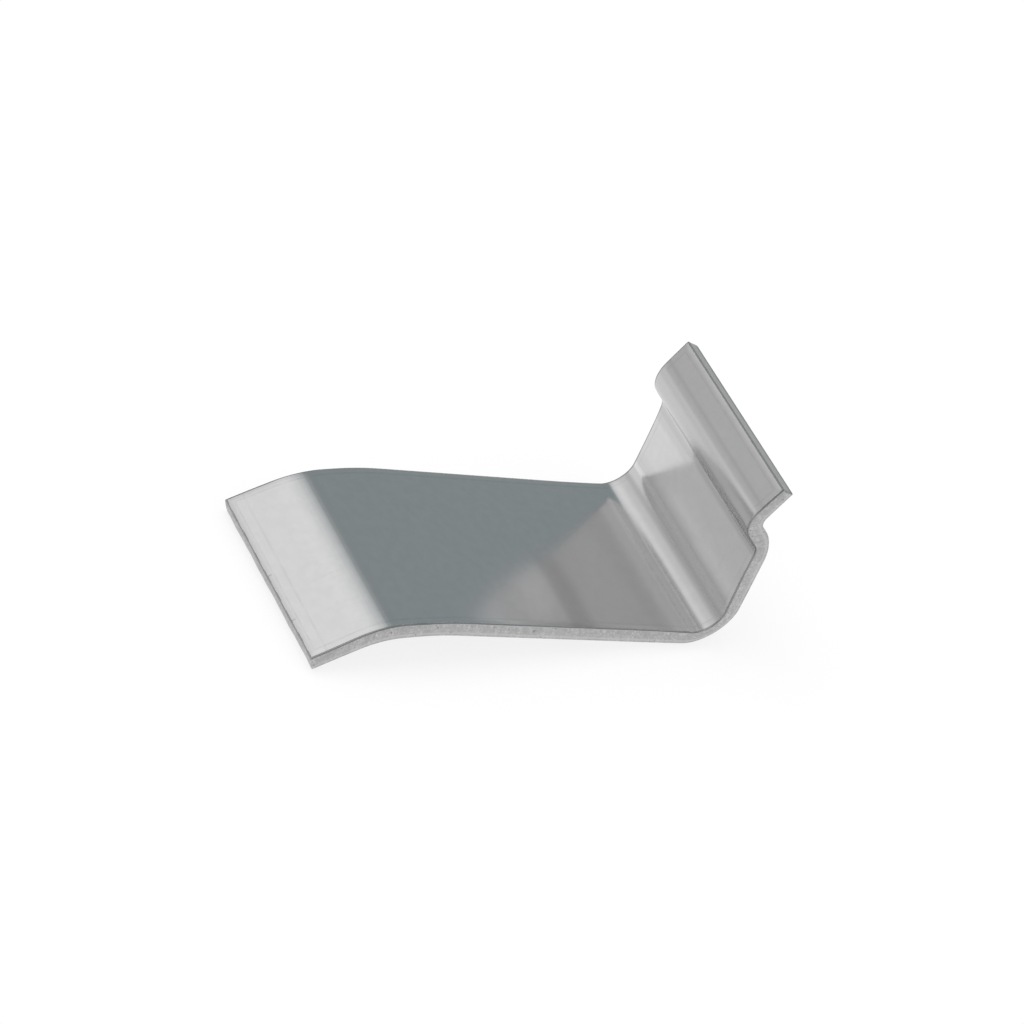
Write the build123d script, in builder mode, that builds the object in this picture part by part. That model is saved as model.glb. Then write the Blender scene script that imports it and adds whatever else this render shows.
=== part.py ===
from build123d import *
import os
from math import asin, atan2, cos, degrees, radians, sin, tan

# Flat spring clip: one strip of stainless spring steel, cut to length and bent across its width.
# Millimetres, +Z up. The clip lies as it comes to rest, with its inner side up: the lower edge of
# the tab's end and the outside of the heel both touch Z = 0. The origin is under the middle of it.
#
# Along the strip, from left to right: tab, knee, web, heel, riser, crease, jog, lip bend, lip.

# Strip
strip_thickness = 1.0
strip_width = 11.7

# Flats, from corner to corner along the middle of the strip's thickness
tab_length = 4.28
knee_length = 4.0
web_length = 20.82
riser_length = 8.05
jog_length = 2.73
lip_length = 2.9

# Turns, in degrees. The knee is bent in two steps: tight beside the tab, then wide beside the web.
tight_knee_turn = 30.0
wide_knee_turn = 7.6
heel_turn = 105.8
crease_turn = 40.2
lip_turn = 70.6

# Bend radii. Both steps of the knee and the heel are free bends. The crease and the notch under
# the lip are pressed in a tool, so each side of the strip has a radius of its own there.
tight_knee_inside_radius = 5.0
wide_knee_inside_radius = 20.0
heel_inside_radius = 1.45
crease_radius = 1.3
shoulder_radius = 4.2
lip_nose_radius = 2.0
notch_radius = 0.7

# Edges. The punch rolls the edges of the inner side over, wide and shallow, and tumbling breaks
# the edges of the outer side.
edge_roll_width = 0.35
edge_roll_depth = 0.06
edge_break = 0.04

tab_slope = tight_knee_turn + wide_knee_turn


def strip_corners():
    """Corners of the strip's middle line, each with the heading before and after it.

    They are in the strip's own frame, where the tab's end is at the origin and the web runs along X.
    """
    flats = (tab_length, knee_length, web_length, riser_length, jog_length, lip_length)
    turns = (-tight_knee_turn, -wide_knee_turn, heel_turn, crease_turn, -lip_turn, 0)
    x, z, heading = 0.0, 0.0, radians(tab_slope)
    corners = [(x, z, heading, heading)]
    for flat, turn in zip(flats, turns):
        x += flat * cos(heading)
        z += flat * sin(heading)
        next_heading = heading + radians(turn)
        corners.append((x, z, heading, next_heading))
        heading = next_heading
    return corners


def side_corners(distance):
    """Corners of the line beside the middle one, on its left where distance is positive."""
    line = []
    for x, z, before, after in strip_corners():
        middle = (before + after) / 2
        reach = distance / cos((after - before) / 2)
        line.append((x - reach * sin(middle), z + reach * cos(middle)))
    return line


inner_corners = side_corners(strip_thickness / 2)
outer_corners = side_corners(-strip_thickness / 2)
heel_outside_radius = heel_inside_radius + strip_thickness
knee_inside_radii = (tight_knee_inside_radius, wide_knee_inside_radius)
knee_crown_radii = tuple(radius + strip_thickness for radius in knee_inside_radii)
inner_radii = (*knee_crown_radii, heel_inside_radius, crease_radius, lip_nose_radius)
outer_radii = (*knee_inside_radii, heel_outside_radius, shoulder_radius, notch_radius)

with BuildSketch() as strip_outline:
    with BuildLine():
        inner_line = FilletPolyline(*inner_corners, radius=inner_radii)
        outer_line = FilletPolyline(*outer_corners, radius=outer_radii)
        tab_end = Line(inner_line @ 0, outer_line @ 0)
        lip_end = Line(inner_line @ 1, outer_line @ 1)
    make_face()
    for end in (tab_end, lip_end):
        rolled_corner = strip_outline.vertices().sort_by_distance(end @ 0)[0]
        end_edge = strip_outline.edges().sort_by_distance(end @ 0.5)[0]
        chamfer(rolled_corner, edge_roll_depth, edge_roll_width, reference=end_edge)

# At rest the floor touches two rounds from below: the broken edge at the tab's end and the heel.
# Their centres and radii give the strip's lean and the floor's height.
edge_round = Vector(*outer_corners[0]) + Vector(edge_break, edge_break).rotate(Axis.Z, tab_slope)
heel_setback = heel_outside_radius * tan(radians(heel_turn / 2))
heel_round = Vector(*outer_corners[3]) + Vector(-heel_setback, heel_outside_radius)
span = heel_round - edge_round
lean = degrees(atan2(span.Y, span.X) - asin((heel_outside_radius - edge_break) / span.length))

floor_height = heel_round.rotate(Axis.Z, -lean).Y - heel_outside_radius
resting_box = strip_outline.sketch.rotate(Axis.Z, -lean).bounding_box()
rest_plane = Plane(
    origin=(-resting_box.center().X, 0, -floor_height),
    x_dir=Vector(1, 0, 0).rotate(Axis.Y, lean),
    z_dir=(0, -1, 0),
)


def edges_along(line, face):
    """Edges of a side face that lie on one of the outline's two long lines."""
    touching = 0.001
    found = []
    for edge in face.edges():
        middle = rest_plane.to_local_coords(edge @ 0.5)
        if line.distance_to(Vector(middle.X, middle.Y)) < touching:
            found.append(edge)
    return found


with BuildPart() as spring_clip:
    with BuildSketch(rest_plane):
        add(strip_outline.sketch)
    extrude(amount=strip_width / 2, both=True)
    for side in (0, -1):
        side_face = spring_clip.faces().sort_by(Axis.Y)[side]
        chamfer(edges_along(inner_line, side_face), edge_roll_depth, edge_roll_width, reference=side_face)
    outer_ends = [rest_plane.from_local_coords(corner) for corner in (outer_line @ 0, outer_line @ 1)]
    outer_rim = [spring_clip.edges().sort_by_distance(end)[0] for end in outer_ends]
    for side in (0, -1):
        outer_rim += edges_along(outer_line, spring_clip.faces().sort_by(Axis.Y)[side])
    fillet(outer_rim, edge_break)

spring_clip.part.label = "spring_clip"

os.makedirs("parts", exist_ok=True)
export_step(spring_clip.part, "parts/spring_clip.step")
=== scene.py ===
import math
from typing import NamedTuple

import bpy
import numpy as np
from mathutils import Matrix, Vector


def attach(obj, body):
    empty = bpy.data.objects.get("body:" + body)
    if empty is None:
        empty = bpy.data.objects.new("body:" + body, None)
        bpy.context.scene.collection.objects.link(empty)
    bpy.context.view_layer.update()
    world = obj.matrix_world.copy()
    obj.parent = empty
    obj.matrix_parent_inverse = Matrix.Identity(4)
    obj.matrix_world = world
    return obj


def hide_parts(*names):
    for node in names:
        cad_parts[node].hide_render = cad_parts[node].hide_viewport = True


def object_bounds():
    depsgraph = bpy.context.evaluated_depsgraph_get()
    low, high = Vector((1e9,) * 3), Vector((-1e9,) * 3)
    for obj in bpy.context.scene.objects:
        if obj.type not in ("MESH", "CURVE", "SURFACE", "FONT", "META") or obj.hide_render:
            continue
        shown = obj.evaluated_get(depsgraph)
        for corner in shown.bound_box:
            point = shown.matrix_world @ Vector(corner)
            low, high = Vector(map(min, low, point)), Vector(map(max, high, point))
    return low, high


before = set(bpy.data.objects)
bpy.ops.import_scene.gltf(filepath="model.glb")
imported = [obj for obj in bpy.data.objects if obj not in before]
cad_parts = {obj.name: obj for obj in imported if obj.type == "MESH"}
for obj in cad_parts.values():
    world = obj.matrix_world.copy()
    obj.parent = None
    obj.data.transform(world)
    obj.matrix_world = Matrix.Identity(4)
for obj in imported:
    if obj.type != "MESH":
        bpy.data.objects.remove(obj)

# A flat spring clip of bright spring-steel strip, lying on a pale studio floor with its inner side up.
# Metres. X runs along the strip from the tab to the riser, Y across it, Z up.
cad_low, cad_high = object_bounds()
MM = 0.001
TINY = 1e-12

# The strip and its bends, as in the solid
STRIP_THICKNESS = 1.0 * MM
STRIP_WIDTH = 11.7 * MM
HALF_WIDTH = STRIP_WIDTH / 2
TAB, KNEE, WEB = 4.28 * MM, 4.0 * MM, 20.82 * MM
RISER, JOG, LIP = 8.05 * MM, 2.73 * MM, 2.9 * MM
TIGHT_KNEE_TURN, WIDE_KNEE_TURN = 30.0, 7.6
HEEL_TURN, CREASE_TURN, LIP_TURN = 105.8, 40.2, 70.6
TIGHT_KNEE_INSIDE, WIDE_KNEE_INSIDE, HEEL_INSIDE = 5.0 * MM, 20.0 * MM, 1.45 * MM
CREASE, SHOULDER = 1.3 * MM, 4.2 * MM
LIP_NOSE, NOTCH = 2.0 * MM, 0.7 * MM
KNEE_OUTSIDES = [TIGHT_KNEE_INSIDE + STRIP_THICKNESS, WIDE_KNEE_INSIDE + STRIP_THICKNESS]
INNER_RADII = KNEE_OUTSIDES + [HEEL_INSIDE, CREASE, LIP_NOSE]
OUTER_RADII = [TIGHT_KNEE_INSIDE, WIDE_KNEE_INSIDE, HEEL_INSIDE + STRIP_THICKNESS, SHOULDER, NOTCH]

# The sheared edge, from the inner face down to the outer one
ROLL_WIDTH = 0.42 * MM
ROLL_DEPTH = 0.03 * MM
RIM_WIDTH = 0.08 * MM
RIM_DEPTH = 0.055 * MM
SHEAR_LEAN = 0.045 * MM
BURNISH_END = 0.42 * MM
FRACTURE_TAPER = 0.03 * MM
EDGE_BREAK = 0.04 * MM

# The blank's round corners, the tab's uneven end and the lip's end, which leans with its depth
PLAN_CORNER = 0.14 * MM
END_WAVE = 0.012 * MM
LIP_END_TILT = 0.05 * MM

# Bending squeezes metal out at the hollow side of a bend and draws it in at the round side. For each
# bend but the wide step of the knee: how far the inner face's edges stand out, and over what length.
# The outer face's edges move the other way, by less.
TIGHT_KNEE_SPREAD = (-0.065 * MM, 2.0 * MM)
HEEL_SPREAD, CREASE_SPREAD = (0.10 * MM, 2.8 * MM), (0.05 * MM, 0.9 * MM)
NOSE_SPREAD = (-0.05 * MM, 1.5 * MM)
OUTER_SPREAD = -0.4

# Heights of the bumps: the rolled face's slow waves, and the grain, pits and nicks
WAVE_HEIGHT = 0.006 * MM
GRAIN_HEIGHT = 0.02 * MM

# The photograph's view, in degrees: how far round and how high the eye stands, and the picture's tilt
VIEW_ROUND, VIEW_HEIGHT, VIEW_TILT = 48.728, 36.637, 31.810
VIEW_TARGET = Vector((5.215 * MM, 4.778 * MM, 0))
VIEW_DISTANCE = 224.79 * MM
LENS = 137.43

# Where the clip sees the mirrored tent from
TENT_MIDDLE = Vector((5 * MM, 0, 10 * MM))


class Number:
    """A number in a shader. Arithmetic on it adds Math nodes to its material."""

    def __init__(self, shader, socket):
        self.shader = shader
        self.socket = socket

    def _math(self, operation, *values):
        return self.shader.number("Math", "Value", {"operation": operation}, dict(enumerate(values)))

    def __add__(self, other):
        return self._math("ADD", self, other)

    def __sub__(self, other):
        return self._math("SUBTRACT", self, other)

    def __mul__(self, other):
        return self._math("MULTIPLY", self, other)

    def __rsub__(self, other):
        return self._math("SUBTRACT", other, self)

    def __abs__(self):
        return self._math("ABSOLUTE", self)

    __radd__ = __add__
    __rmul__ = __mul__

    def lesser(self, other):
        return self._math("MINIMUM", self, other)

    def rise(self, start, end):
        """A smooth step from 0 at start to 1 at end, which may be the lower of the two."""
        low, high = min(start, end), max(start, end)
        settings = {"interpolation_type": "SMOOTHSTEP"}
        inputs = {"Value": self, "From Min": low, "From Max": high}
        inputs.update({"To Min": float(start > end), "To Max": float(start < end)})
        return self.shader.number("MapRange", "Result", settings, inputs)

    def ridge(self, middle, half_width):
        """1 at the middle, falling smoothly to 0 at half_width on either side."""
        return abs(self - middle).rise(half_width, 0)

    def band(self, start, full, fading, end):
        """1 from full to fading, and 0 before start and after end."""
        return self.rise(start, full) * self.rise(end, fading)


def gray(level):
    return (level, level, level, 1)


def rolled_gray(level):
    """The very slightly purple gray of the rolled face."""
    return (level * 1.003, level, level * 1.004, 1)


class Shader:
    """The node tree of one material, or of the world."""

    def __init__(self, owner):
        owner.use_nodes = True
        self.owner = owner
        self.tree = owner.node_tree
        self.tree.nodes.clear()

    def node(self, kind, settings=None, inputs=None):
        """Adds a node. Settings come first, then the values or links of its sockets."""
        made = self.tree.nodes.new("ShaderNode" + kind)
        for name, value in (settings or {}).items():
            setattr(made, name, value)
        for name, value in (inputs or {}).items():
            socket = made.inputs[name]
            if isinstance(name, str):
                socket = next(s for s in made.inputs if s.name == name and s.enabled)
            value = value.socket if isinstance(value, Number) else value
            if isinstance(value, bpy.types.NodeSocket):
                self.tree.links.new(value, socket)
            else:
                socket.default_value = value
        return made

    def number(self, kind, output, settings=None, inputs=None):
        return Number(self, self.node(kind, settings, inputs).outputs[output])

    def vector(self, operation, *inputs):
        made = self.node("VectorMath", {"operation": operation}, dict(enumerate(inputs)))
        return made.outputs["Vector"]

    def axes(self, vector):
        split = self.node("SeparateXYZ", None, {"Vector": vector})
        return [Number(self, split.outputs[axis]) for axis in "XYZ"]

    def noise(self, place, scale, detail=2.0, roughness=0.5):
        inputs = {"Vector": place, "Scale": scale, "Detail": detail, "Roughness": roughness}
        return self.number("TexNoise", "Fac", None, inputs)

    def drawn_out(self, place, stretch, angle):
        """The place squeezed along its first axis, so that a texture is long there, and then turned."""
        settings = {"vector_type": "POINT"}
        inputs = {"Vector": place, "Rotation": (0, 0, math.radians(angle)), "Scale": (1 / stretch, 1, 1)}
        return self.node("Mapping", settings, inputs).outputs["Vector"]

    def mix_color(self, factor, first, second):
        made = self.node("Mix", {"data_type": "RGBA"}, {"Factor": factor, "A": first, "B": second})
        return next(s for s in made.outputs if s.enabled)

    def bump(self, height, distance, normal=None):
        inputs = {"Height": height, "Distance": distance, "Strength": 1.0}
        if normal is not None:
            inputs["Normal"] = normal
        return self.node("Bump", None, inputs).outputs["Normal"]


def corners_beside(distance):
    """Corners of the line beside the strip's middle line, on its left where distance is positive.

    The strip is in its own frame, as columns X and Z: the tab's end at the origin, the web along X.
    """
    flats = [0, TAB, KNEE, WEB, RISER, JOG, LIP]
    turns = [0, -TIGHT_KNEE_TURN, -WIDE_KNEE_TURN, HEEL_TURN, CREASE_TURN, -LIP_TURN, 0]
    point, before = np.zeros(2), math.radians(TIGHT_KNEE_TURN + WIDE_KNEE_TURN)
    corners = []
    for flat, turn in zip(flats, turns):
        point = point + flat * np.array([math.cos(before), math.sin(before)])
        heading = before + math.radians(turn)
        middle, half_turn = (before + heading) / 2, (heading - before) / 2
        reach = distance / math.cos(half_turn)
        corners.append(point + reach * np.array([-math.sin(middle), math.cos(middle)]))
        before = heading
    return corners


def heading_between(first, second):
    return math.atan2(second[1] - first[1], second[0] - first[0])


def turn_at(before, corner, after):
    """The turn at a corner, positive to the left."""
    turn = heading_between(corner, after) - heading_between(before, corner)
    return (turn + math.pi) % (2 * math.pi) - math.pi


class Stretch(NamedTuple):
    """One straight or arc of a side line. The curvature is 0 for a straight and positive to the left."""

    begin: float
    length: float
    start: np.ndarray
    heading: float
    curvature: float

    def point(self, distance):
        """The point some way along it."""
        if self.curvature == 0:
            return self.start + distance * np.array([math.cos(self.heading), math.sin(self.heading)])
        turned = self.heading + distance * self.curvature
        forward = math.sin(turned) - math.sin(self.heading)
        sideways = math.cos(self.heading) - math.cos(turned)
        return self.start + np.array([forward, sideways]) / self.curvature

    def middle_of_arc(self):
        leftward = np.array([-math.sin(self.heading), math.cos(self.heading)])
        return self.start + leftward / self.curvature


class SideLine:
    """One long line of the outline, made of straights and arcs.

    A place on it is a number: 0 at the tab's end, 1 to 5 at the middles of the bends, 6 at the lip's end.
    """

    def __init__(self, corners, radii):
        self.stretches = []
        self.bend_middles = [0.0]
        self.travelled = 0.0
        start = corners[0]
        for index in range(len(corners) - 1):
            bends = index < len(radii)
            turn = turn_at(*corners[index:index + 3]) if bends else 0.0
            setback = radii[index] * math.tan(abs(turn) / 2) if bends else 0.0
            heading = heading_between(corners[index], corners[index + 1])
            length = np.linalg.norm(corners[index + 1] - start) - setback
            start = self._go_on(length, start, heading, 0.0)
            if bends:
                length = radii[index] * abs(turn)
                self.bend_middles.append(self.travelled + length / 2)
                start = self._go_on(length, start, heading, turn / length)
        self.bend_middles.append(self.travelled)

    def _go_on(self, length, start, heading, curvature):
        """Adds one stretch to the end of the line, and returns the point that it reaches."""
        self.stretches.append(Stretch(self.travelled, length, start, heading, curvature))
        self.travelled += length
        return self.stretches[-1].point(length)

    def distance(self, place):
        bend = min(int(place), len(self.bend_middles) - 2)
        first, second = self.bend_middles[bend], self.bend_middles[bend + 1]
        return first + (place - bend) * (second - first)

    def place(self, distance):
        bend = max(i for i, middle in enumerate(self.bend_middles[:-1]) if middle <= distance + TINY)
        first, second = self.bend_middles[bend], self.bend_middles[bend + 1]
        return bend + (distance - first) / (second - first)

    def point(self, place):
        distance = self.distance(place)
        stretch = [stretch for stretch in self.stretches if stretch.begin <= distance + TINY][-1]
        return stretch.point(distance - stretch.begin)

    def stations(self, longest_step, widest_turn):
        """Places close enough together that each bend is smooth."""
        found = []
        for stretch in self.stretches:
            fewest = max(1 / longest_step, abs(stretch.curvature) / widest_turn) * stretch.length
            steps = max(math.ceil(fewest), 1)
            ends = [stretch.begin + stretch.length * step / steps for step in range(steps + 1)]
            found += [self.place(distance) for distance in ends]
        return found


def roll_drop(inset):
    """How far the punch has rolled the inner face over, at a distance from the border."""
    return ROLL_DEPTH * max(0.0, 1 - inset / ROLL_WIDTH) ** 1.6


def edge_insets():
    """Distances from the strip's border at which the inner and outer faces have a line of vertices."""
    steps, first = 8, SHEAR_LEAN + RIM_WIDTH
    insets = [first + (ROLL_WIDTH - first) * step / steps for step in range(steps + 1)]
    return insets + [ROLL_WIDTH + 0.1 * MM]


def edge_rings():
    """The rings of vertices round the sheared edge, from the inner face outward.

    Each has its inset, its depth, its share of sheared grain and its share of the dark rim.
    """
    steps, rim_fade = 6, 0.02 * MM
    round_top = roll_drop(SHEAR_LEAN + RIM_WIDTH)
    rings = []
    for step in range(1, steps + 1):
        angle = math.pi / 2 * step / steps
        inset, depth = RIM_WIDTH * (1 - math.sin(angle)), RIM_DEPTH * (1 - math.cos(angle))
        rings.append((SHEAR_LEAN + inset, round_top + depth, 0.0, 1.0))
    rings.append((SHEAR_LEAN * 0.95, round_top + RIM_DEPTH + rim_fade, 1.0, 0.0))
    rings.append((0.0, BURNISH_END, 1.0, 0.0))
    bottom = STRIP_THICKNESS - EDGE_BREAK
    for share in (0.04, 0.35, 0.7, 1.0):
        rings.append((FRACTURE_TAPER * share, BURNISH_END + (bottom - BURNISH_END) * share, 1.0, 0.0))
    for step in range(1, steps):
        angle = math.pi / 2 * step / steps
        inset = FRACTURE_TAPER + EDGE_BREAK * (1 - math.cos(angle))
        rings.append((inset, bottom + EDGE_BREAK * math.sin(angle), 1 - step / steps, 0.0))
    return rings


def thin_out(places, gap):
    """Sorted places, without those that lie closer than gap to the one before."""
    kept = []
    for place in sorted(places):
        if not kept or place - kept[-1] > gap:
            kept.append(place)
    kept[-1] = max(places)
    return kept


class StripMesh:
    """The strip's vertices and faces.

    A vertex is given by its place on the flat blank: the distance s from the tab's end, the distance y
    from the middle line and the depth below the inner face. The lip's end is cut without the other
    borders' lean, so its own border lies further out by that much, at lip_border less the inset.
    """

    def __init__(self):
        self.inner = SideLine(corners_beside(STRIP_THICKNESS / 2), INNER_RADII)
        self.outer = SideLine(corners_beside(-STRIP_THICKNESS / 2), OUTER_RADII)
        self.length = self.inner.bend_middles[-1]
        self.lip_border = self.length + SHEAR_LEAN
        self.points, self.blank_places, self.sheared, self.rim, self.faces = [], [], [], [], []
        self.rows, self.columns = self._rows(), self._columns()

    def _rows(self):
        """Distances from the tab's end of the lines of vertices that run across the strip.

        No two are closer than a small share of the way from one bend to the next.
        """
        longest_step, widest_turn, closest = 0.4 * MM, math.radians(2.5), 0.002
        insets = edge_insets()
        clear = insets[-1] * 1.2
        first, last = self.inner.place(clear), self.inner.place(self.length - clear)
        places = self.inner.stations(longest_step, widest_turn)
        places += self.outer.stations(longest_step, widest_turn)
        places = [place for place in places if first < place < last]
        for inset in insets:
            places += [self.inner.place(inset), self.inner.place(self.lip_border - inset)]
        return [self.inner.distance(place) for place in thin_out(places, closest)]

    def _columns(self):
        """Distances from the middle line of the lines of vertices that run along the strip."""
        insets, steps = edge_insets(), 48
        reach = HALF_WIDTH - insets[-1]
        middle = [reach * (2 * step / steps - 1) for step in range(steps + 1)]
        left = [inset - HALF_WIDTH for inset in insets[:-1]]
        return left + middle + [-y for y in reversed(left)]

    def _round_corner(self, s, y):
        """Moves a place in a corner of the blank inward, onto a round corner."""
        ds, dy = min(s, self.length - s), HALF_WIDTH - abs(y)
        if ds >= PLAN_CORNER or dy >= PLAN_CORNER:
            return s, y
        a, b = 1 - ds / PLAN_CORNER, 1 - dy / PLAN_CORNER
        ds = PLAN_CORNER * (1 - a * math.sqrt(1 - b * b / 2))
        dy = PLAN_CORNER * (1 - b * math.sqrt(1 - a * a / 2))
        return (ds if s < self.length / 2 else self.length - ds), math.copysign(HALF_WIDTH - dy, y)

    def _end_wave(self, s, y):
        """The tab's end was cut off by a tool that left it very slightly uneven."""
        reach = 0.5 * MM
        fade = max(0.0, 1 - s / reach)
        return END_WAVE * fade * (math.sin(y / (0.55 * MM)) + 0.6 * math.sin(y / (0.23 * MM) + 1) - 0.8)

    def _spread(self, s):
        """How far the inner face's edges stand out here, because of the bends."""
        tight_knee, _, heel, crease, nose = self.inner.bend_middles[1:6]
        middles = (tight_knee, heel, crease, nose)
        spreads = (TIGHT_KNEE_SPREAD, HEEL_SPREAD, CREASE_SPREAD, NOSE_SPREAD)
        total = 0.0
        for middle, (out, reach) in zip(middles, spreads):
            total += out * math.exp(-((s - middle) / reach) ** 2)
        return total

    def add(self, s, y, depth, sheared=0.0, rim=0.0):
        """Adds a vertex where a place on the blank ends up, and returns its number."""
        s, y = self._round_corner(s, y)
        share = depth / STRIP_THICKNESS
        s_bent = s - self._end_wave(s, y)
        place = self.inner.place(min(max(s_bent, 0.0), self.length))
        x, z = self.inner.point(place) * (1 - share) + self.outer.point(place) * share
        y_bent = y * (1 + self._spread(s) * (1 - share + share * OUTER_SPREAD) / HALF_WIDTH)
        self.points.append((x, y_bent, z))
        self.blank_places.append((s, y, depth))
        self.sheared.append(sheared)
        self.rim.append(rim)
        return len(self.points) - 1

    def add_face(self, depth_of, facing_up):
        """One of the two wide faces, as a grid. Returns its border, in order round the strip."""
        grid = []
        for s in self.rows:
            insets = [min(s, self.lip_border - s, HALF_WIDTH - abs(y)) for y in self.columns]
            grid.append([self.add(s, y, depth_of(inset)) for y, inset in zip(self.columns, insets)])
        for row, after in zip(grid, grid[1:]):
            for j in range(len(self.columns) - 1):
                corners = (row[j], row[j + 1], after[j + 1], after[j])
                self.faces.append(corners[::-1] if facing_up else corners)
        border = [row[0] for row in grid] + grid[-1][1:]
        return border + [row[-1] for row in reversed(grid[:-1])] + grid[0][-2:0:-1]

    def add_ring(self, border, inset, depth, sheared, rim):
        """One ring of vertices, each beside a vertex of the inner face's border.

        The sides and the tab's end lean as they were sheared. The lip's end was cut a little aslant.
        """
        ring, on_border = [], (SHEAR_LEAN + RIM_WIDTH) * 1.01
        lip_inset = max(inset - SHEAR_LEAN, 0.0) + LIP_END_TILT * depth / STRIP_THICKNESS
        for index in border:
            s, y = self.grid_places[index]
            if s <= on_border:
                s = inset
            if s >= self.lip_border - on_border:
                s = self.length - lip_inset
            if HALF_WIDTH - abs(y) <= on_border:
                y = math.copysign(HALF_WIDTH - inset, y)
            ring.append(self.add(s, y, depth, sheared, rim))
        return ring

    def join(self, ring, following):
        """The band of faces between two rings."""
        for k in range(len(ring)):
            after = (k + 1) % len(ring)
            self.faces.append((ring[k], ring[after], following[after], following[k]))

    def build(self):
        """The inner face, the outer face and the sheared edge between them."""
        self.grid_places = [(s, y) for s in self.rows for y in self.columns]
        inner_border = self.add_face(roll_drop, True)
        outer_border = self.add_face(lambda inset: STRIP_THICKNESS, False)
        ring = inner_border
        for inset, depth, sheared, rim in edge_rings():
            following = self.add_ring(inner_border, inset, depth, sheared, rim)
            self.join(ring, following)
            ring = following
        self.join(ring, outer_border)

    def lean(self):
        """Angle by which the strip turns when the tab's edge and the heel lie on the floor."""
        heel = next(stretch for stretch in self.outer.stretches if stretch.curvature > 0)
        span = heel.middle_of_arc() - self.outer.point(0)
        return math.atan2(span[1], span[0]) - math.asin(1 / heel.curvature / np.linalg.norm(span))

    def laid_down(self):
        """The points as the strip rests, in the middle of the solid's box and as low as it."""
        lean = self.lean()
        x, y, z = np.array(self.points).T
        laid_x = x * math.cos(lean) + z * math.sin(lean)
        laid_z = z * math.cos(lean) - x * math.sin(lean)
        laid_x += (cad_low.x + cad_high.x) / 2 - (laid_x.min() + laid_x.max()) / 2
        laid_z += cad_low.z - laid_z.min()
        return np.column_stack([laid_x, y, laid_z])


def formed_strip():
    """The clip itself, with its places on the flat blank kept for the finish."""
    strip = StripMesh()
    strip.build()
    mesh = bpy.data.meshes.new("formed_strip")
    mesh.from_pydata(strip.laid_down().tolist(), [], strip.faces)
    blank = mesh.attributes.new("blank", "FLOAT_VECTOR", "POINT")
    blank.data.foreach_set("vector", np.array(strip.blank_places).ravel())
    for name, values in (("sheared", strip.sheared), ("rim", strip.rim)):
        mesh.attributes.new(name, "FLOAT", "POINT").data.foreach_set("value", values)
    mesh.shade_smooth()
    mesh.validate()
    piece = bpy.data.objects.new("formed_strip", mesh)
    bpy.context.collection.objects.link(piece)
    mesh.materials.append(SpringSteel(strip).finished())
    return piece


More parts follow.
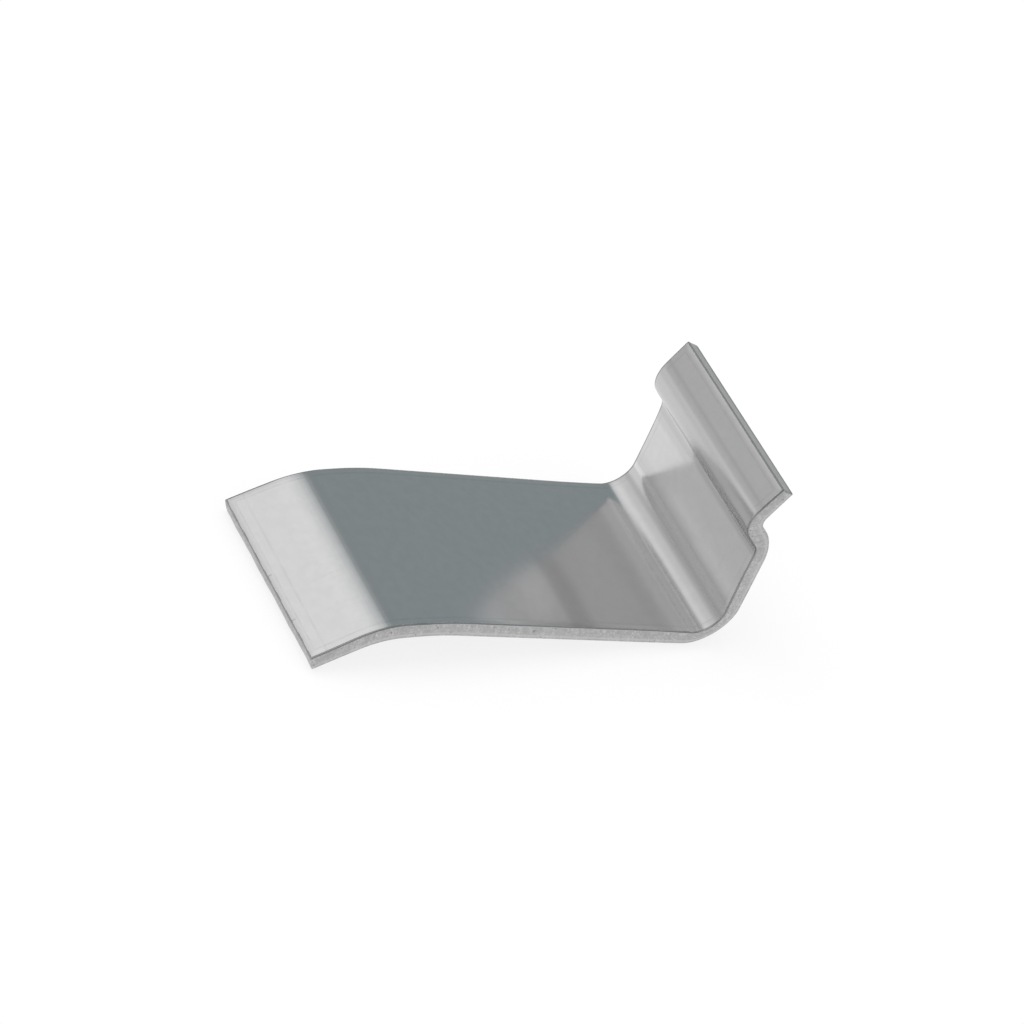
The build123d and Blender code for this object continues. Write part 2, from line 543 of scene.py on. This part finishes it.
class SpringSteel(Shader):
    """Bright rolled strip, with grainy gray edges where it was sheared.

    Places are in millimetres on the flat blank: s along it, y across it and depth below the inner face.
    """

    def __init__(self, strip):
        super().__init__(bpy.data.materials.new("bright_spring_steel"))
        self.blank = self.node("Attribute", {"attribute_name": "blank"}).outputs["Vector"]
        self.sheared = self.number("Attribute", "Fac", {"attribute_name": "sheared"})
        self.rim = self.number("Attribute", "Fac", {"attribute_name": "rim"})
        self.inside = 1 - self.sheared
        self.s, self.y, self.depth = (axis * (1 / MM) for axis in self.axes(self.blank))
        self.length = strip.length / MM
        self.inset = self.s.lesser(self.length - self.s).lesser(HALF_WIDTH / MM - abs(self.y))
        middles = [middle / MM for middle in strip.inner.bend_middles]
        self.knee, self.heel, self.crease, self.nose = middles[1], *middles[3:6]
        self.nose_end = self.nose + LIP_NOSE / MM * math.radians(LIP_TURN) / 2

        # Fields that more than one part of the finish uses
        self.clouds = self.noise(self.blank, 190, 3, 0.55)
        self.grain = self.noise(self.blank, 7000, 3, 0.65)
        shifted = self.vector("ADD", self.blank, (0.01, 0.03, 0))
        self.pits = self.noise(shifted, 3200, 1, 0.5).rise(0.70, 0.77) * self.sheared
        # A band of painted shade and more roughness from the crease over the nose
        self.rough_shaded_crease_to_nose = self._rough_shaded_crease_to_nose()
        lengthwise = self.drawn_out(self.blank, 24, 50)
        self.scratches = self.noise(lengthwise, 5200, 2, 0.6).rise(0.60, 0.74) * (1 - self.rough_shaded_crease_to_nose)
        nicks = self.y.ridge(0.1, 0.07) + self.y.ridge(-3.1, 0.06)
        self.nicks = nicks * self.s.ridge(0.22, 0.22) * self.inside

    def _rough_shaded_crease_to_nose(self):
        """Crease to nose, with painted shade and more roughness; less on the jog and the near side."""
        s, crease, nose, nose_end = self.s, self.crease, self.nose, self.nose_end
        rough_shaded_crease_to_nose = s.band(crease - 0.25, crease + 0.25, nose_end - 0.18, nose_end - 0.04)
        jog = s.band(crease + 0.4, crease + 0.65, nose - 1.2, nose - 0.95)
        near_side = self.y.rise(-2.5, -4.8)
        return rough_shaded_crease_to_nose * (1 - jog * 0.7) * (1 - near_side * 0.3) * self.inside

    def _rolled_face(self):
        """Soft cloudy tints, fine mottling and long faint scratches.

        Faint lines of painted shade follow the border, where the punch's roll starts, and the tab's end.
        """
        shifted = self.vector("ADD", self.blank, (0.05, 0.02, 0))
        tints = self.noise(shifted, 260, 2, 0.5).rise(0.5, 0.75)
        mottling = self.noise(self.blank, 1500, 4, 0.6).rise(0.35, 0.65)
        face = self.mix_color(self.clouds.rise(0.35, 0.65), rolled_gray(0.639), rolled_gray(0.643))
        face = self.mix_color(tints * 0.5, face, (0.642, 0.641, 0.637, 1))
        face = self.mix_color(mottling * 0.4, face, rolled_gray(0.592))

        uneven = self.noise(self.blank, 1300, 2, 0.5).rise(0.35, 0.65) * 0.6 + 0.4
        lines = (self.inset.ridge(0.48, 0.09) + self.s.ridge(1.05, 0.13) * 0.7) * uneven
        # Painted shade over the tab's last half millimetre
        shaded_tab_end = self.s.rise(0.55, 0.15)
        # Painted shade lines and tab end, with the real faint scratches
        darkening = lines * self.inside * 0.65 + self.scratches * 0.08 + shaded_tab_end * self.inside * 0.4
        return self.mix_color(darkening, face, rolled_gray(0.535))

    def _painted_bend_shade(self, face):
        """Painted shade: crease to nose, the heel's upper half and a band on the nose are darker."""
        s, heel = self.s, self.heel
        shaded_upper_heel = s.band(heel + 0.2, heel + 0.45, heel + 1.1, heel + 1.27)
        shaded_nose_band = s.ridge(self.nose_end - 0.55, 0.35)
        face = self.mix_color(self.rough_shaded_crease_to_nose, face, rolled_gray(0.54))
        face = self.mix_color(shaded_upper_heel * self.inside, face, rolled_gray(0.57))
        return self.mix_color(shaded_nose_band * self.inside * 0.5, face, rolled_gray(0.435))

    def _painted_highlights(self):
        """Painted highlights: bands beside the heel, a little brighter."""
        s, y, heel = self.s, self.y, self.heel
        painted_highlight = s.ridge(heel - 1.75, 1.0) * y.rise(4.5, 3.5) * 0.53
        painted_highlight = painted_highlight + s.ridge(heel - 1.4, 0.25) * y.rise(1.0, 0.0) * 0.75
        painted_highlight = painted_highlight + s.ridge(heel + 1.38, 0.3) * 0.62
        return painted_highlight * self.inside

    def _painted_shade_bands(self):
        """Faint painted shade beside the bends, and a painted dark reflection on the web's near half."""
        s, y, heel, crease = self.s, self.y, self.heel, self.crease
        above_heel = s.ridge(heel + 1.75, 0.12) * 0.4 + s.ridge(heel + 2.0, 0.4) * 0.5
        above_heel = above_heel + s.ridge(heel + 2.4, 0.4) * 0.3
        at_crease = s.ridge(crease - 0.43, 0.4)
        far_crease = s.band(crease - 1.5, crease - 1.0, crease - 0.1, crease + 0.05) * y.rise(1.5, 2.6)
        past_nose = s.ridge(self.nose_end + 0.25, 0.22)
        at_knee = s.ridge(self.knee + 0.52, 0.7)
        # A painted dark reflection across the web's near half
        on_web = s.band(heel - 10.72, heel - 10.02, heel - 9.32, heel - 8.12) * y.rise(0.4, -1.4)
        darkening = above_heel + at_crease + far_crease * 0.6 + past_nose * 0.6
        return (darkening + at_knee * 0.45 + on_web * 0.85) * self.inside

    def _sheared_face(self):
        """Gray and grainy, streaked by the shears, with small dark pits and a lighter band low down.

        It is brighter at the lip's end, and dark along that end's lower edge.
        """
        mottling = self.noise(self.blank, 1700, 3, 0.5).rise(0.42, 0.62)
        downward = self.vector("MULTIPLY", self.blank, (1, 1, 0.2))
        streaks = self.noise(downward, 4600, 2, 0.6).rise(0.45, 0.65)
        face = self.mix_color(self.grain.rise(0.25, 0.75), gray(0.38), gray(0.63))
        face = self.mix_color(mottling * 0.5, face, gray(0.40))
        face = self.mix_color(streaks * 0.45, face, gray(0.39))
        face = self.mix_color(self.depth.ridge(0.78, 0.16) * 0.6, face, gray(0.62))
        face = self.mix_color(self.pits * 0.7, face, gray(0.25))
        lip_end = self.s.rise(self.length - 0.12, self.length - 0.04)
        face = self.mix_color(lip_end * 0.7, face, (0.69, 0.685, 0.68, 1))
        return self.mix_color(lip_end * self.depth.rise(0.66, 0.86) * 0.85, face, gray(0.34))

    def _rim_color(self):
        """The thin dark line between the two faces: palest along the web, darkest from the heel on."""
        color = self.mix_color(self.s.rise(self.knee - 0.38, self.knee + 1.62), gray(0.363), gray(0.53))
        return self.mix_color(self.s.rise(self.heel - 1.2, self.heel + 1.2), color, gray(0.27))

    def _color(self):
        # The rolled face, with painted shade on the bends
        face = self._painted_bend_shade(self._rolled_face())
        # Painted highlight bands beside the heel
        face = self.mix_color(self._painted_highlights(), face, rolled_gray(0.742))
        # Painted shade beside the bends, and a painted dark reflection on the web
        face = self.mix_color(self._painted_shade_bands(), face, rolled_gray(0.528))
        face = self.mix_color(self.nicks * 0.8, face, gray(0.42))
        color = self.mix_color(self.sheared, face, self._sheared_face())
        return self.mix_color(self.rim, color, self._rim_color())

    def _roughness(self):
        heel = self.s.band(self.heel - 0.8, self.heel - 0.5, self.heel + 0.6, self.heel + 0.9) * self.inside
        rolled = 0.17 + self.clouds * 0.04 + self.scratches * 0.05 + self.rough_shaded_crease_to_nose * 0.06 + heel * 0.12
        return rolled + self.sheared * 0.28 + self.rim * 0.04

    def _normal(self):
        waves = self.noise(self.blank, 240, 1, 0.4)
        relief = self.grain * self.sheared - self.nicks * 0.6 - self.pits * 0.5
        return self.bump(relief, GRAIN_HEIGHT, self.bump(waves, WAVE_HEIGHT))

    def finished(self):
        """The material, with its surface linked up."""
        inputs = {"Base Color": self._color(), "Metallic": 1.0}
        inputs.update({"Roughness": self._roughness(), "Normal": self._normal()})
        surface = self.node("BsdfPrincipled", None, inputs).outputs["BSDF"]
        self.node("OutputMaterial", None, {"Surface": surface})
        return self.owner


def seen_directly(shader):
    """1 for what the camera sees, straight or by a mirror or glass, and 0 for what only lights."""
    paths = shader.node("LightPath")
    kinds = ["Is Camera Ray", "Is Glossy Ray", "Is Transmission Ray"]
    camera_ray, glossy_ray, transmission_ray = (Number(shader, paths.outputs[kind]) for kind in kinds)
    return camera_ray + glossy_ray + transmission_ray


def studio_floor():
    """A flat white floor that keeps a light shadow."""
    bpy.ops.mesh.primitive_plane_add(size=6, location=(0, 0, -0.02 * MM))
    floor = bpy.context.object
    floor.name = "studio_floor"
    shader = Shader(bpy.data.materials.new("pale_floor"))
    lit = shader.node("BsdfDiffuse", None, {"Color": gray(0.27)}).outputs["BSDF"]
    glow = shader.node("Emission", None, {"Color": gray(1), "Strength": 0.75}).outputs["Emission"]
    white = shader.node("AddShader", None, {0: lit, 1: glow}).outputs["Shader"]
    plain = shader.node("BsdfDiffuse", None, {"Color": gray(0.8)}).outputs["BSDF"]
    surface = shader.node("MixShader", None, {"Fac": seen_directly(shader), 1: plain, 2: white})
    shader.node("OutputMaterial", None, {"Surface": surface.outputs["Shader"]})
    floor.data.materials.append(shader.owner)


def tent_panels():
    """Glowing panels, coloured by the direction in which the clip sees them."""
    shader = Shader(bpy.data.materials.new("tent_panels"))
    position = shader.node("NewGeometry").outputs["Position"]
    direction = shader.vector("SUBTRACT", position, TENT_MIDDLE)
    x, y, z = shader.axes(shader.vector("NORMALIZE", direction))
    color = shader.mix_color(z.rise(-0.01, 0.26), (0.55, 0.55, 0.553, 1), gray(0.80))
    bright_roof = z.rise(0.64, 0.80)
    color = shader.mix_color(bright_roof, color, gray(1.06))
    floor_nearby = z.rise(0, -0.22)
    color = shader.mix_color(floor_nearby, color, gray(0.97))
    dark_card = (x.rise(-0.10, 0.16) * 0.35 + x.rise(0.13, 0.28) * 0.65) * z.rise(0.06, 0.30)
    color = shader.mix_color(dark_card, color, (0.316, 0.360, 0.372, 1))
    dark_front = y.rise(-0.2, -0.6) * z.rise(-0.02, 0.02)
    color = shader.mix_color(dark_front * 0.85, color, (0.23, 0.23, 0.235, 1))
    glow = shader.node("Emission", None, {"Color": color, "Strength": 1.0}).outputs["Emission"]
    shader.node("OutputMaterial", None, {"Surface": glow})
    return shader.owner


def tent_floor(radius, hole, count):
    """A flat ring just inside the tent, round the clip."""
    turns = [2 * math.pi * step / count for step in range(count)]
    points = [(r * math.cos(turn), r * math.sin(turn), 0) for r in (hole, radius) for turn in turns]
    faces = [(k, (k + 1) % count, (k + 1) % count + count, k + count) for k in range(count)]
    mesh = bpy.data.meshes.new("tent_floor")
    mesh.from_pydata(points, [], faces)
    floor = bpy.data.objects.new("tent_floor", mesh)
    floor.location.x = TENT_MIDDLE.x
    bpy.context.collection.objects.link(floor)
    return floor


def light_tent():
    """What the metal mirrors.

    The tent has a bright roof, gray walls, a dark card at the right, a dark front where the camera
    stands, and a floor that is white near the clip and grayer far away.
    """
    radius, count = 2.5, 96
    bpy.ops.mesh.primitive_uv_sphere_add(segments=count, ring_count=count // 2, radius=radius)
    tent = bpy.context.object
    tent.name = "light_tent"
    panels = tent_panels()
    for part in (tent, tent_floor(radius * 0.99, 25 * MM, count)):
        part.data.materials.append(panels)
        part.visible_camera = part.visible_diffuse = False
        part.visible_transmission = part.visible_shadow = False


def lights():
    """One broad soft lamp over a white world."""
    lamp = bpy.data.lights.new("key_softbox", "AREA")
    lamp.shape, lamp.size, lamp.energy = "DISK", 1.2, 8.5
    key = bpy.data.objects.new("key_softbox", lamp)
    key.location = (-0.6, 0.4, 1.4)
    key.rotation_euler = Vector(key.location).to_track_quat("Z", "Y").to_euler()
    key.visible_glossy = False
    bpy.context.collection.objects.link(key)

    world = bpy.data.worlds.new("white_surround")
    bpy.context.scene.world = world
    shader = Shader(world)
    fill = shader.node("Background", None, {"Color": gray(1), "Strength": 0.7}).outputs["Background"]
    white = shader.node("Background", None, {"Color": gray(1), "Strength": 1.0}).outputs["Background"]
    surface = shader.node("MixShader", None, {"Fac": seen_directly(shader), 1: fill, 2: white})
    shader.node("OutputWorld", None, {"Surface": surface.outputs["Shader"]})


def camera():
    """The photograph's viewing angle, with its picture turned about the line of sight."""
    turn, height, tilt = (math.radians(angle) for angle in (VIEW_ROUND, VIEW_HEIGHT, VIEW_TILT))
    level = math.cos(height)
    away = Vector((math.sin(turn) * level, math.cos(turn) * level, -math.sin(height)))
    data = bpy.data.cameras.new("photo_camera")
    data.lens, data.sensor_width, data.clip_start = LENS, 36, 0.01
    seat = bpy.data.objects.new("photo_camera", data)
    seat.location = VIEW_TARGET - away * VIEW_DISTANCE
    aimed = away.to_track_quat("-Z", "Y").to_matrix() @ Matrix.Rotation(tilt, 3, "Z")
    seat.rotation_euler = aimed.to_euler()
    bpy.context.collection.objects.link(seat)
    bpy.context.scene.camera = seat


clip = formed_strip()
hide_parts("spring_clip")
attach(clip, "root")
studio_floor()
light_tent()
lights()
camera()
bpy.context.scene.view_settings.view_transform = "Standard"
